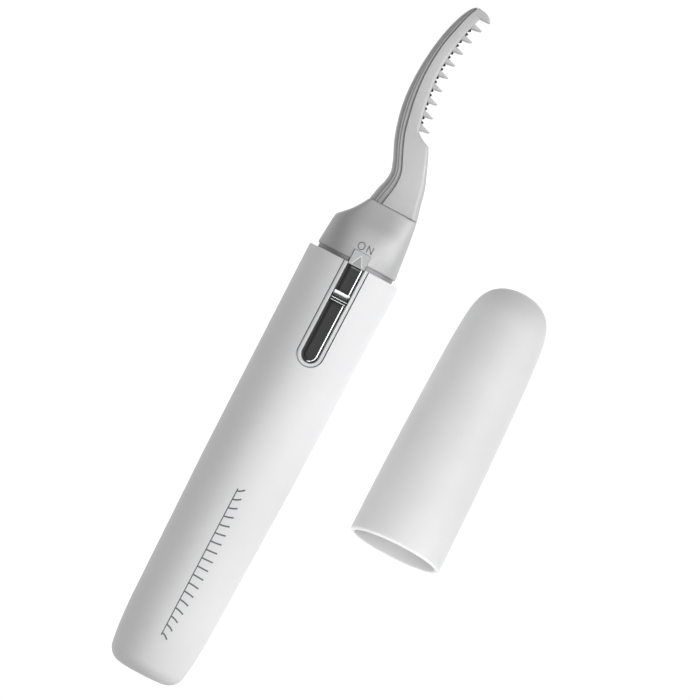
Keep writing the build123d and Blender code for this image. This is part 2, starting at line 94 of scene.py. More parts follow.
def texture(tree, scale, stretch=(1, 1, 1), **settings):
    """A noise texture in the object's own coordinates, scaled in features per metre."""
    place = tree.nodes.new("ShaderNodeTexCoord")
    mapping = tree.nodes.new("ShaderNodeMapping")
    mapping.inputs["Scale"].default_value = stretch
    node = tree.nodes.new("ShaderNodeTexNoise")
    node.inputs["Scale"].default_value = scale
    for key, value in settings.items():
        node.inputs[key].default_value = value
    tree.links.new(place.outputs["Object"], mapping.inputs["Vector"])
    tree.links.new(mapping.outputs["Vector"], node.inputs["Vector"])
    return node


def ramp(tree, source, low, high):
    """A colour ramp from low to high over the source's usual range."""
    node = tree.nodes.new("ShaderNodeValToRGB")
    node.color_ramp.elements[0].position = noise_low
    node.color_ramp.elements[1].position = noise_high
    node.color_ramp.elements[0].color = (*low, 1)
    node.color_ramp.elements[1].color = (*high, 1)
    tree.links.new(source, node.inputs["Fac"])
    return node


def value_range(tree, source, low, high):
    """A number that follows the source between two limits."""
    node = tree.nodes.new("ShaderNodeMapRange")
    node.inputs["From Min"].default_value = noise_low
    node.inputs["From Max"].default_value = noise_high
    node.inputs["To Min"].default_value = low
    node.inputs["To Max"].default_value = high
    tree.links.new(source, node.inputs["Value"])
    return node


def bump(tree, shader, source, distance):
    """Relief of this height in metres."""
    node = tree.nodes.new("ShaderNodeBump")
    node.inputs["Distance"].default_value = distance
    node.inputs["Strength"].default_value = 1.0
    tree.links.new(source, node.inputs["Height"])
    tree.links.new(node.outputs["Normal"], shader.inputs["Normal"])


def plastic(name, low, high, rough=(0.4, 0.5), relief=0.000004, specular=0.5, metallic=0.0, glow=0.0):
    """Moulded plastic, or paint with some metal in it: fine eroded grain, faint blotches of colour and sheen.

    glow is the share of light that soaks a little way in, as in a thin pale wall.
    """
    made, tree, shader = new_material(name)
    shader.inputs["Specular IOR Level"].default_value = specular
    shader.inputs["Metallic"].default_value = metallic
    shader.inputs["Subsurface Weight"].default_value = glow
    shader.inputs["Subsurface Radius"].default_value = (1.0, 1.0, 1.0)
    shader.inputs["Subsurface Scale"].default_value = soak_depth
    patches = texture(tree, blotch_scale, Detail=4.0, Roughness=0.6)
    colours = ramp(tree, patches.outputs["Fac"], low, high)
    tree.links.new(colours.outputs["Color"], shader.inputs["Base Color"])
    smear = texture(tree, smear_scale, smear_stretch, Detail=5.0)
    sheen = value_range(tree, smear.outputs["Fac"], *rough)
    tree.links.new(sheen.outputs["Result"], shader.inputs["Roughness"])
    fine = texture(tree, grain_scale, Detail=2.0)
    bump(tree, shader, fine.outputs["Fac"], relief)
    return made


def metal(name, low, high, rough, relief=0.000001):
    """Bare or plated metal with fine scratches."""
    made, tree, shader = new_material(name)
    shader.inputs["Metallic"].default_value = 1.0
    lines = texture(tree, scratch_scale, Detail=4.0, Roughness=0.7)
    colours = ramp(tree, lines.outputs["Fac"], low, high)
    tree.links.new(colours.outputs["Color"], shader.inputs["Base Color"])
    sheen = value_range(tree, lines.outputs["Fac"], *rough)
    tree.links.new(sheen.outputs["Result"], shader.inputs["Roughness"])
    bump(tree, shader, lines.outputs["Fac"], relief)
    return made


def clear_plastic(name, colour, rough, transmission, relief=0.000002):
    """See-through moulded plastic with a faint surface ripple."""
    made, tree, shader = new_material(name)
    shader.inputs["Base Color"].default_value = (*colour, 1)
    shader.inputs["Transmission Weight"].default_value = transmission
    shader.inputs["IOR"].default_value = 1.49
    ripple = texture(tree, ripple_scale, Detail=3.0)
    sheen = value_range(tree, ripple.outputs["Fac"], *rough)
    tree.links.new(sheen.outputs["Result"], shader.inputs["Roughness"])
    bump(tree, shader, ripple.outputs["Fac"], relief)
    return made


polished = 0.0000002                   # relief, in metres, of pieces with hardly any grain
materials = {
    "white_shell": plastic("soft_white", (0.64, 0.64, 0.648), (0.67, 0.67, 0.678), rough=(0.42, 0.5)),
    "cap_white": plastic("cap_white", (0.55, 0.55, 0.554), (0.58, 0.58, 0.584), rough=(0.42, 0.5),
                         glow=0.6),
    "grey_satin": plastic("grey_satin", (0.44, 0.44, 0.444), (0.48, 0.48, 0.484), rough=(0.58, 0.64),
                          metallic=0.62),
    "grey_spine": plastic("grey_spine", (0.28, 0.28, 0.285), (0.32, 0.32, 0.325), rough=(0.34, 0.44),
                          metallic=0.2),
    "tooth_clear": clear_plastic("tooth_clear", (0.60, 0.60, 0.61), rough=(0.2, 0.3), transmission=0.35),
    "chrome_trim": plastic("chrome_trim", (0.43, 0.435, 0.44), (0.46, 0.465, 0.47), rough=(0.36, 0.42),
                           relief=polished, metallic=0.4),
    # Chrome shown as near-black plastic: a painted dark reflection, on the switch plate and the window's
    # shoulder.
    "dark_mirror": plastic("dark_mirror", (0.018, 0.018, 0.018), (0.026, 0.026, 0.026), rough=(0.25, 0.32),
                           specular=0.22),
    "clear_lens": plastic("clear_lens", (0.38, 0.385, 0.39), (0.41, 0.415, 0.42), rough=(0.2, 0.3),
                          relief=polished),
    "chassis_grey": plastic("chassis_grey", (0.22, 0.22, 0.225), (0.26, 0.26, 0.265), metallic=0.4),
    "cradle_plastic": plastic("cradle_plastic", (0.62, 0.62, 0.61), (0.70, 0.70, 0.69)),
    "spring_steel": metal("spring_steel", (0.62, 0.61, 0.58), (0.72, 0.71, 0.68), rough=(0.2, 0.35)),
    "board_green": plastic("board_green", (0.02, 0.16, 0.07), (0.03, 0.22, 0.10), rough=(0.25, 0.4)),
    "chip_black": plastic("chip_black", (0.015, 0.015, 0.016), (0.03, 0.03, 0.03)),
    "screw_steel": metal("screw_steel", (0.5, 0.5, 0.51), (0.62, 0.62, 0.63), rough=(0.2, 0.35)),
    "switch_black": plastic("switch_black", (0.02, 0.02, 0.021), (0.04, 0.04, 0.04)),
    "led_body": plastic("led_body", (0.75, 0.12, 0.08), (0.85, 0.18, 0.12), rough=(0.15, 0.25)),
    "ring_rubber": plastic("ring_rubber", (0.02, 0.02, 0.02), (0.035, 0.035, 0.035), rough=(0.6, 0.75)),
    "heater_dark": metal("heater_dark", (0.03, 0.03, 0.032), (0.06, 0.058, 0.055), rough=(0.35, 0.5)),
    "heater_wire": metal("heater_wire", (0.025, 0.022, 0.02), (0.05, 0.045, 0.04), rough=(0.3, 0.45)),
    "lead_red": plastic("lead_red", (0.45, 0.02, 0.015), (0.55, 0.03, 0.02)),
    "lead_black": plastic("lead_black", (0.012, 0.012, 0.012), (0.03, 0.03, 0.03)),
    "cell_steel": metal("cell_steel", (0.58, 0.58, 0.56), (0.70, 0.70, 0.68), rough=(0.2, 0.3)),
    "cell_film": plastic("cell_film", (0.03, 0.09, 0.18), (0.04, 0.12, 0.23), rough=(0.12, 0.25)),
}
extra_materials = {
    # Near-black painted shade: the dark band and dark lines in the switch's window, and the knob's block
    # between its ribs.
    "painted_shade_black": plastic("painted_shade_black", (0.004, 0.004, 0.004), (0.008, 0.008, 0.008), rough=(0.3, 0.4),
                             specular=0.2),
    # Near-white polished metal as a painted highlight: the bright line in the switch's window and the knob's
    # two thin ridges.
    "painted_highlight_metal": metal("painted_highlight_metal", (0.93, 0.94, 0.95), (0.96, 0.97, 0.98), rough=(0.12, 0.2),
                         relief=polished),
    # A grey painted glint: the faint light line on the left inside the switch's window.
    "painted_glint_grey": plastic("painted_glint_grey", (0.16, 0.16, 0.165), (0.20, 0.20, 0.205), rough=(0.3, 0.4)),
    "knob_chrome": metal("knob_chrome", (0.42, 0.425, 0.43), (0.47, 0.475, 0.48), rough=(0.24, 0.32),
                         relief=polished),
    "mark_grey": plastic("mark_grey", (0.085, 0.088, 0.095), (0.12, 0.123, 0.13), rough=(0.5, 0.6)),
    # The lens's arrowhead is a real mark; its light strokes are a painted highlight along its edges, and the
    # triangle under them painted shade.
    "lens_mark_painted_highlight": plastic("lens_mark_painted_highlight", (0.62, 0.62, 0.625), (0.66, 0.66, 0.665), rough=(0.3, 0.4)),
    "lens_shade": plastic("lens_shade", (0.26, 0.26, 0.265), (0.30, 0.30, 0.305), rough=(0.3, 0.4)),
}
slot_of = {part["node"]: part["material_slot"] for part in frame["record"]["subparts"]}


def dress(obj, slot, finish=None):
    """Gives an object the material of one of the record's slots, or one of the extra finishes."""
    obj.data.materials.clear()
    obj.data.materials.append(extra_materials[finish] if finish else materials[slot])


for name, obj in nodes.items():
    dress(obj, slot_of[name])


# ---- number and mesh helpers ---------------------------------------------------------------------------
def at(x, h, z):
    """A point from millimetres: across, past the barrel's mouth, and above the barrel's axis."""
    return Vector((x * MM, mouth + h * MM, z * MM))


def smooth_line(points):
    """A smooth function through (h, value) pairs: cubic Hermite pieces with averaged slopes."""
    xs = [p[0] for p in points]
    ys = [p[1] for p in points]
    chords = [(ys[i + 1] - ys[i]) / (xs[i + 1] - xs[i]) for i in range(len(xs) - 1)]
    slopes = [chords[0]] + [(a + b) / 2 for a, b in zip(chords, chords[1:])] + [chords[-1]]

    def value(x):
        x = min(max(x, xs[0]), xs[-1])
        i = max(k for k in range(len(xs) - 1) if xs[k] <= x)
        step = xs[i + 1] - xs[i]
        t = (x - xs[i]) / step
        return ((2 * t ** 3 - 3 * t ** 2 + 1) * ys[i] + (t ** 3 - 2 * t ** 2 + t) * step * slopes[i]
                + (3 * t ** 2 - 2 * t ** 3) * ys[i + 1] + (t ** 3 - t ** 2) * step * slopes[i + 1])

    return value


def smooth_max(a, b, radius):
    """The larger of two numbers, rounded where they meet."""
    return (a + b + sqrt((a - b) ** 2 + radius ** 2)) / 2


def signed_power(value, power):
    """The size of a number raised to a power, with the number's own sign."""
    return abs(value) ** power * (1 if value > 0 else -1)


def spread(low, high, count):
    """Evenly spaced numbers from low to high."""
    return [low + (high - low) * i / (count - 1) for i in range(count)]


def circle_angles(count):
    """The angles of this many points evenly round a circle."""
    return [2 * pi * i / count for i in range(count)]


def finish_mesh(name, mesh_data, slot, body, replaced=(), sharp=35, finish=None):
    """Makes the piece, with its material, its body and the nodes that it replaces.

    Its faces are smooth, with sharp edges where they meet at more than the sharp angle.
    """
    work = bmesh.new()
    work.from_mesh(mesh_data)
    bmesh.ops.remove_doubles(work, verts=work.verts, dist=1e-8)
    bmesh.ops.recalc_face_normals(work, faces=work.faces)
    for face in work.faces:
        face.smooth = True
    for edge in work.edges:
        edge.smooth = len(edge.link_faces) == 2 and edge.calc_face_angle(0) < radians(sharp)
    work.to_mesh(mesh_data)
    work.free()
    obj = bpy.data.objects.new(name, mesh_data)
    scene.collection.objects.link(obj)
    dress(obj, slot, finish)
    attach(obj, body)
    if replaced:
        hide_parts(*replaced)
    return obj


def mesh_from(name, verts, faces):
    """A mesh from lists of points and faces."""
    made = bpy.data.meshes.new(name)
    made.from_pydata([tuple(v) for v in verts], [], faces)
    made.update()
    return made


def skin_mesh(name, *skins):
    """A mesh of closed skins, each over its own list of rings of points, with its two ends filled."""
    verts, faces = [], []
    for rings in skins:
        first, size = len(verts), len(rings[0])
        for ring in rings:
            verts.extend(ring)
        for r in range(len(rings) - 1):
            a = first + r * size
            for i in range(size):
                j = (i + 1) % size
                faces.append((a + i, a + j, a + size + j, a + size + i))
        last = first + (len(rings) - 1) * size
        faces.append(tuple(first + i for i in reversed(range(size))))
        faces.append(tuple(last + i for i in range(size)))
    return mesh_from(name, verts, faces)


def cut(obj_mesh, tool_mesh):
    """obj_mesh with tool_mesh taken out of it."""
    base = bpy.data.objects.new("cut_base", obj_mesh)
    tool = bpy.data.objects.new("cut_tool", tool_mesh)
    for obj in (base, tool):
        scene.collection.objects.link(obj)
    modifier = base.modifiers.new("cut", "BOOLEAN")
    modifier.operation = "DIFFERENCE"
    modifier.solver = "EXACT"
    modifier.object = tool
    graph = bpy.context.evaluated_depsgraph_get()
    result = bpy.data.meshes.new_from_object(base.evaluated_get(graph))
    for obj in (base, tool):
        bpy.data.objects.remove(obj)
    return result


def block_mesh(name, low, high):
    """A plain box, used only as a cutting tool."""
    corners = [Vector((x, y, z)) for x in (low.x, high.x) for y in (low.y, high.y) for z in (low.z, high.z)]
    faces = [(0, 1, 3, 2), (4, 6, 7, 5), (0, 4, 5, 1), (2, 3, 7, 6), (0, 2, 6, 4), (1, 5, 7, 3)]
    return mesh_from(name, corners, faces)


def bevelled_block(name, low, high, bevel, slot, body, replaced=(), finish=None):
    """A block with rounded edges between two corners."""
    work = bmesh.new()
    bmesh.ops.create_cube(work, size=1)
    for vert in work.verts:
        vert.co = Vector([low[i] + (vert.co[i] + 0.5) * (high[i] - low[i]) for i in range(3)])
    bmesh.ops.bevel(work, geom=list(work.edges), offset=bevel, segments=3, affect="EDGES", profile=0.6)
    made = bpy.data.meshes.new(name)
    work.to_mesh(made)
    work.free()
    return finish_mesh(name, made, slot, body, replaced, 60, finish)


def surface_height(obj, x, y):
    """Height of the highest point of a mesh over a point."""
    above = 0.1
    hit, place, *_ = obj.ray_cast(Vector((x, y, above)), Vector((0, 0, -1)))
    return place.z if hit else 0.0


def direction_at(points, k):
    """The direction along a line at its point k."""
    before, after = points[max(k - 1, 0)], points[min(k + 1, len(points) - 1)]
    return (after - before).normalized()


def ribbon(obj, line, width, lift):
    """Rings of a printed stroke laid on a surface along (x, h) points, from lift below it to lift above it.

    The points, the width and the lift are in millimetres.
    """
    points = [at(x, h, 0) for x, h in line]
    rings = []
    for k, point in enumerate(points):
        along = direction_at(points, k)
        side = Vector((-along.y, along.x, 0)) * width * MM / 2
        ring = []
        for place, above in ((point + side, -1), (point + side, 1), (point - side, 1), (point - side, -1)):
            ring.append(Vector((place.x, place.y, surface_height(obj, place.x, place.y) + above * lift * MM)))
        rings.append(ring)
    return rings


# ---- outlines of collar and comb, in millimetres past the mouth ----------------------------------------
collar_start = (collar_low.y - mouth) / MM
head_joint = (collar_high.y - mouth) / MM
comb_tip = (comb_high.y - mouth) / MM
teeth_start = 28.35                    # the heel ends here and the row of teeth begins
hook_start = 52.3
hook_foot = hook_start - 0.02          # the comb's edge steps out from the teeth's root to the hook here
collar_right = smooth_line([(collar_start, 8.2), (4.7, 7.75), (8.5, 7.3), (head_joint, 6.7)])
collar_left = smooth_line([(collar_start, -8.2), (7.2, -7.72), (head_joint, -7.3)])
collar_hollow = smooth_line([(6.4, -8.7), (7.2, -7.75), (8.2, -6.65), (9.4, -5.5), (11.2, -4.2),
                             (head_joint, -3.4)])
half_thick = smooth_line([(collar_start, 7.38), (4.0, 7.05), (7.2, 6.25), (10.0, 5.0), (head_joint, 3.9),
                          (16.0, 3.25), (20.0, 2.85), (30.0, 2.35), (40, 2.15), (comb_tip, 1.85)])
spine_edge = smooth_line([(head_joint, -3.4), (15.1, -2.85), (17.0, -2.3), (18.9, -2.15), (20.8, -2.7),
                          (24.6, -4.35), (28.35, -5.5), (32.1, -6.2), (37.0, -6.45), (41.6, -6.2),
                          (45.4, -5.65), (49.1, -4.75), (52.0, -3.65), (53.2, -2.95), (comb_tip, -2.35)])
parting = smooth_line([(head_joint, -1.0), (14.7, -0.6), (17.0, -0.25), (19.5, -0.42), (22.7, -1.75),
                       (26.5, -3.25), (30.2, -4.1), (34.0, -4.75), (38.7, -5.05), (44.4, -4.65), (48.2, -3.8),
                       (52.0, -2.75), (comb_tip, -1.9)])
root_line = smooth_line([(teeth_start, -1.0), (30.2, -1.5), (34.0, -2.25), (39.7, -2.8), (45.4, -2.3),
                         (49.1, -1.55), (51.2, -0.95), (52.05, -0.65)])
heel_line = smooth_line([(head_joint, 6.7), (15.1, 6.05), (17.0, 5.6), (18.9, 5.12), (20.8, 4.4), (24.6, 2.8),
                         (25.8, 2.2), (26.3, 1.85), (26.65, 1.0), (27.2, -0.05), (27.75, -0.75),
                         (teeth_start, -1.0)])
hook_line = smooth_line([(hook_start, 1.42), (52.7, 1.25), (53.2, 0.75), (53.6, 0.0), (53.82, -0.75),
                         (comb_tip, -1.4)])


def comb_inner(h):
    """The comb's edge on the teeth's side at this height."""
    if h < teeth_start:
        return heel_line(h)
    return root_line(h) if h < hook_foot else hook_line(h)


# ---- collar, comb, spine cover and teeth ---------------------------------------------------------------
def collar_ring(h, inset):
    """One ring round the collar: an ellipse that squares up towards the comb, hollowed on its left."""
    squaring, hollow_start = 1.3, 6.0
    share = min(max((h - collar_start) / (head_joint - collar_start), 0), 1)
    power = 2 / (2 + squaring * share)
    hollow_round = 0.12 + 0.5 * share
    left, right, thick = collar_left(h) + inset, collar_right(h) - inset, half_thick(h) - inset
    ring = []
    for angle in circle_angles(72):
        c = cos(angle)
        x = (right if c > 0 else -left) * signed_power(c, power)
        if h > hollow_start:
            x = smooth_max(x, collar_hollow(h) + inset, hollow_round)
        ring.append(at(x, h, thick * signed_power(sin(angle), power)))
    return ring


def build_collar():
    """The grey collar: a hollow shell, closed at the comb's end, with a slot for the lens."""
    wall, cavity_end = 1.15, 9.6
    start_edge = [(0.0, 0.12), (0.04, 0.04), (0.12, 0.0)]          # heights past its start, with their insets
    joint_line = [(-0.10, 0.03), (-0.08, 0.35), (0.0, 0.35)]       # heights past the joint, with their insets
    rings = [collar_ring(h, wall) for h in spread(cavity_end, collar_start + 0.1, 14) + [collar_start]]
    rings += [collar_ring(collar_start + rise, inset) for rise, inset in start_edge]
    rings += [collar_ring(h, 0.0) for h in spread(collar_start + 0.4, head_joint - 0.16, 44)]
    rings += [collar_ring(head_joint + rise, inset) for rise, inset in joint_line]
    shell = skin_mesh("neck_collar_shell", rings)
    gap, slot_end, below_slot, above_slot = 0.05 * MM, 2.8 * MM, 2 * MM, 9 * MM
    lens_low, lens_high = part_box("indicator_lens")
    slot_low = Vector((lens_low.x - gap, collar_low.y - 1 * MM, below_slot))
    slot_high = Vector((lens_high.x + gap, mouth + slot_end, above_slot))
    shell = cut(shell, block_mesh("lens_slot", slot_low, slot_high))
    return finish_mesh("collar_shell", shell, "grey_satin", "chassis", ["neck_collar"], sharp=28)


def rounded_section(h, left, right, thick, left_round, right_round, right_step):
    """Ring of a flat section with rounded ends: the right end rounds down to right_step, then is straight."""
    bend = spread(0, pi / 2, 9)
    upper = [(left + left_round * (1 - cos(a)), thick - left_round + left_round * sin(a)) for a in bend]
    upper += [(right - right_round * (1 - cos(a)), right_step + (thick - right_step) * sin(a))
              for a in reversed(bend)]
    return [at(x, h, z) for x, z in upper] + [at(x, h, -z) for x, z in reversed(upper)]


def build_comb():
    """The comb's two cheeks and hook in one piece, slotted on the teeth's side."""
    joint_bevel, tip_bevel, bevel_slope = 0.08, 0.25, 1.2
    spine_round = 0.14
    flat_start, flat_height = 26.5, 1.55       # past this height its edge is flat, this far up and down
    heel_flat, heel_growth, heel_run = 0.25, 1.3, 14
    heel_margin, edge_margin = 0.3, 0.35       # the flat ends at least this far short of the section's top
    slot_start, slot_end = 28.2, 51.6
    slot_depth, slot_half, past_edge = 1.75, 1.5, 4
    heights = [head_joint, head_joint + 0.03, head_joint + joint_bevel] + spread(head_joint + 0.4, 25.4, 26)
    heights += spread(25.6, 28.6, 24) + spread(29.0, 52.1, 46) + [hook_foot - 0.01, hook_foot + 0.01]
    heights += spread(hook_start + 0.05, comb_tip, 14)
    edge_round = smooth_line([(head_joint, 1.5), (18.0, 1.2), (24.0, 0.9), (27.0, 0.7), (30.0, 0.7),
                              (comb_tip, 0.6)])
    rings = []
    for h in heights:
        past_joint, to_tip = h - head_joint, comb_tip - h
        inset = bevel_slope * (max(0.0, joint_bevel - past_joint) + max(0.0, tip_bevel - to_tip))
        left, right = parting(h) + inset, comb_inner(h) - inset
        thick = half_thick(h) - inset
        if h > flat_start:
            flat = min(flat_height, thick - edge_margin)
        else:
            flat = min(heel_flat + heel_growth * past_joint / heel_run, thick - heel_margin)
        bend = min(edge_round(h), 0.6 * (right - left))
        rings.append(rounded_section(h, left, right, thick, spine_round, bend, flat))
    comb = skin_mesh("comb_cheeks", rings)
    slot = []
    for h in spread(slot_start, slot_end, 40):
        low = root_line(h) - slot_depth
        slot.append([at(low, h, -slot_half), at(low, h, slot_half), at(past_edge, h, slot_half),
                     at(past_edge, h, -slot_half)])
    comb = cut(comb, skin_mesh("comb_slot", slot))
    finish_mesh("comb_cheeks", comb, "grey_satin", "chassis", ["comb_body"], sharp=40)


def build_spine():
    """The darker cover along the comb's outer curve: rounded outside, with a groove beside the cheeks."""
    clearance, round_share, round_drop = 0.03, 0.44, 0.12
    joint_bevel, joint_slope = 0.14, 0.8
    tip_bevel, tip_slope = 0.5, 0.5
    # Across the cover from the end of the rounded side: the share of its width, and the drop from its top.
    crest = [(0.50, round_drop), (0.53, 0.24), (0.57, 0.22), (0.62, 0.05), (0.85, 0.02), (0.90, 0.14),
             (0.93, 0.42), (1.0, 0.42)]
    heights = [head_joint, head_joint + 0.05, head_joint + joint_bevel]
    heights += spread(head_joint + 0.5, comb_tip - 0.7, 92) + spread(comb_tip - 0.6, comb_tip - 0.06, 10)
    rings = []
    for h in heights:
        past_joint, to_tip = h - head_joint, comb_tip - h
        inset = max(0.0, joint_bevel - past_joint) * joint_slope + max(0.0, tip_bevel - to_tip) * tip_slope
        outer, thick = spine_edge(h) + inset, half_thick(h) - clearance - inset
        width = parting(h) - clearance - outer
        upper = [(outer + round_share * width * (1 - cos(a)), (thick - round_drop) * sin(a) ** 0.8)
                 for a in spread(0, pi / 2, 13)]
        upper += [(outer + share * width, thick - drop) for share, drop in crest]
        rings.append([at(x, h, z) for x, z in upper] + [at(x, h, -z) for x, z in reversed(upper[1:])])
    finish_mesh("spine_shell", skin_mesh("spine", rings), "grey_spine", "chassis", ["spine_cover"], sharp=38)


def tooth(h, middle, half):
    """Rings of one tooth: a flat lower flank, a sloping upper flank and a blunt tip."""
    buried, length = 0.25, 2.05                # it starts this far inside the rail, and stands out this far
    lower_slope, upper_slope = 0.42, 0.72      # how much further out its two flanks are at the root
    lower_tip, upper_tip = 0.10, 0.12          # how far below and above its own height they reach at the tip,
    lower_end, upper_end = 0.04, 0.07          # and how far the blunt end does
    taper, end_share = 0.65, 0.6               # how much it thins to the tip, and the end's share of the rest
    squareness = 0.7
    root = root_line(h) - buried
    rings = []
    for t in spread(0, 1, 12):
        below = h - lower_slope * (1 - t) ** 0.9 - lower_tip
        above = h + upper_tip + upper_slope * (1 - t) ** 1.15
        thin = half * (1 - taper * t ** 1.6)
        if t == 1:
            below, above, thin = h - lower_end, h + upper_end, thin * end_share
        x, centre_h, half_h = root + (length + buried) * t, (below + above) / 2, (above - below) / 2
        rings.append([at(x, centre_h + half_h * signed_power(cos(a), squareness),
                         middle + thin * signed_power(sin(a), squareness)) for a in circle_angles(16)])
    return rings


def build_teeth(name, node, low, high):
    """One row between two depths: a rail that follows the comb's curve, and nine teeth on it."""
    first, pitch, count = 28.7, 2.69, 9
    middle, half = (low + high) / 2, (high - low) / 2
    depth, bevel, rail_end = 1.5, 0.08, 51.4
    profile = [(-depth, -half), (-bevel, -half), (0, bevel - half), (0, half - bevel), (-bevel, half),
               (-depth, half)]
    heights = spread(teeth_start, rail_end, 60)
    rail = [[at(root_line(h) + x, h, middle + z) for x, z in profile] for h in heights]
    teeth = [tooth(first + number * pitch, middle, half) for number in range(count)]
    finish_mesh(name, skin_mesh(name, rail, *teeth), "tooth_clear", "chassis", [node], sharp=50)


def build_heater():
    """The curved heater bar and the wire turns wound round it."""
    start, end, depth, half, bevel = 28.5, 51.3, 1.2, 0.4, 0.08
    side = [(-depth, half - bevel), (bevel - depth, half), (-bevel, half), (0, half - bevel)]
    profile = [(x, -z) for x, z in side] + list(reversed(side))
    core = [[at(root_line(h) + x, h, z) for x, z in profile] for h in spread(start, end, 60)]
    finish_mesh("heater_core", skin_mesh("heater_core", core), "heater_dark", "chassis", ["heater_bar"])

    first, pitch, turns, wire, slant = 28.95, 0.89, 25, 0.20 * MM, 0.12
    half_x, half_z, squareness = 0.80, 0.52, 0.55
    setback = 0.50                             # the turns' middle is this far inside the row's root line
    loop, around = 28, 10                      # points along each turn, and round its wire
    verts, faces = [], []
    for number in range(turns):
        h = first + number * pitch
        centre_x = root_line(h) - setback
        base = len(verts)
        for angle in circle_angles(loop):
            c, s = cos(angle), sin(angle)
            centre = at(centre_x + half_x * signed_power(c, squareness), h + slant * s,
                        half_z * signed_power(s, squareness))
            outward = Vector((c * half_z, 0, s * half_x)).normalized()
            for turn in circle_angles(around):
                verts.append(centre + outward * (wire * cos(turn)) + Vector((0, wire * sin(turn), 0)))
        for k in range(loop):
            here, there = base + k * around, base + (k + 1) % loop * around
            for i in range(around):
                j = (i + 1) % around
                faces.append((here + i, here + j, there + j, there + i))
    wound = mesh_from("heater_turns", verts, faces)
    finish_mesh("heater_turns", wound, "heater_wire", "chassis", ["heater_winding"])


# ---- switch and lens -----------------------------------------------------------------------------------
def barrel_top(x):
    """Height of the barrel's upper surface, this far from its middle, from its ellipse at the mouth."""
    return sleeve_high.z * sqrt(max(0.0, 1 - (x / sleeve_high.x) ** 2))


def build_bezel():
    """The U-shaped chrome rim of the switch: a rounded section swept down one side, round its end and up."""
    window, edge_gap, bend, proud = 1.75 * MM, 0.05 * MM, 0.13 * MM, 0.02 * MM
    inner_bend = bend * 1.6
    fall, fall_length = 0.06, 40 * MM          # the barrel's top falls by this share over this length
    low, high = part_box("switch_bezel")
    outer = high.x - edge_gap
    middle, half = (outer + window) / 2, (outer - window) / 2
    end_centre = low.y + outer
    points = [Vector((-middle, y, 0)) for y in spread(high.y, end_centre, 24)]
    half_turn = spread(pi, 2 * pi, 41)[1:-1]
    points += [Vector((middle * cos(a), end_centre + middle * sin(a), 0)) for a in half_turn]
    points += [Vector((middle, y, 0)) for y in spread(end_centre, high.y, 24)]
    quarter = spread(0, pi / 2, 7)
    rim = [(half - bend + bend * cos(a), bend * sin(a) - bend) for a in quarter]
    rim += [(inner_bend - half - inner_bend * sin(a), inner_bend * cos(a) - inner_bend) for a in quarter]
    rings = []
    for k, point in enumerate(points):
        along = direction_at(points, k)
        outward = Vector((along.y, -along.x, 0))
        if outward.dot(Vector((point.x, point.y - max(point.y, end_centre), 0))) < 0:
            outward = -outward
        ring = [point + outward * s + Vector((0, 0, low.z)) for s in (-half, half)]
        for s, drop in rim:
            place = point + outward * s
            top = barrel_top(place.x) * (1 - fall * (mouth - place.y) / fall_length) + proud
            ring.append(Vector((place.x, place.y, top + drop)))
        rings.append(ring)
    finish_mesh("bezel_rim", skin_mesh("bezel_rim", rings), "chrome_trim", "chassis", ["switch_bezel"],
                sharp=50)


def channel_strip(name, finish, inner, outer, low_z, high_z, side):
    """A strip inside the bezel's window: down one side and round that half of its end, fading to nothing."""
    top_gap, bevel, fade, steps = 0.3 * MM, 0.05 * MM, 0.94, 16
    low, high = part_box("switch_bezel")
    centre_y = low.y + high.x
    edges = [((inner, y), (outer, y)) for y in spread(high.y - top_gap, centre_y, 20)]
    for k in range(1, steps + 1):
        angle = pi / 2 * k / steps
        narrow = inner + (outer - inner) * (fade * (k / steps) ** 2)
        edges.append(((narrow * cos(angle), centre_y - narrow * sin(angle)),
                      (outer * cos(angle), centre_y - outer * sin(angle))))
    # Across the strip: the share of its width, and the height there.
    section = [(0, low_z), (0, high_z - bevel), (0.15, high_z), (0.85, high_z), (1, high_z - bevel),
               (1, low_z)]
    rings = []
    for (x1, y1), (x2, y2) in edges:
        rings.append([Vector((side * ((1 - t) * x1 + t * x2), (1 - t) * y1 + t * y2, z)) for t, z in section])
    slot = "chrome_trim" if finish else "dark_mirror"
    finish_mesh(name, skin_mesh(name, rings), slot, "chassis", sharp=60, finish=finish)


def build_channel():
    """The window's inside, in strips of painted shade and painted reflection: dark ones on the left, and a
    painted highlight beside a painted dark line on the right.
    """
    # On the left a black painted shadow, a shoulder of painted dark reflection, a grey painted glint and a
    # painted dark line.
    # Each strip's finish, how far from the middle it starts and ends, its height, and its side.
    strips = (("channel_painted_shadow", "painted_shade_black", 0.72, 1.14, 0.28, -1),
              ("channel_shoulder", None, 1.14, 1.52, 0.40, -1),
              ("channel_painted_glint", "painted_glint_grey", 1.52, 1.60, 0.45, -1),
              ("channel_painted_dark_line", "painted_shade_black", 1.60, 1.74, 0.40, -1),
              ("channel_painted_highlight", "painted_highlight_metal", 1.22, 1.58, 0.45, 1),
              ("channel_shade", "painted_shade_black", 1.58, 1.74, 0.30, 1))
    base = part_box("switch_bezel")[0].z + 0.02 * MM
    for name, finish, inner, outer, tall, side in strips:
        channel_strip(name, finish, inner * MM, outer * MM, base, base + tall * MM, side)


def rib_rise(t, wide):
    """A rib's height as a share of its full height, from its start, 0, to its end, 1: a slope or an arch."""
    if wide:
        return 0.45 + 0.55 * sin(pi / 2 * t ** 0.7)
    return 0.55 + 0.45 * sin(pi * (0.1 + 0.8 * t))


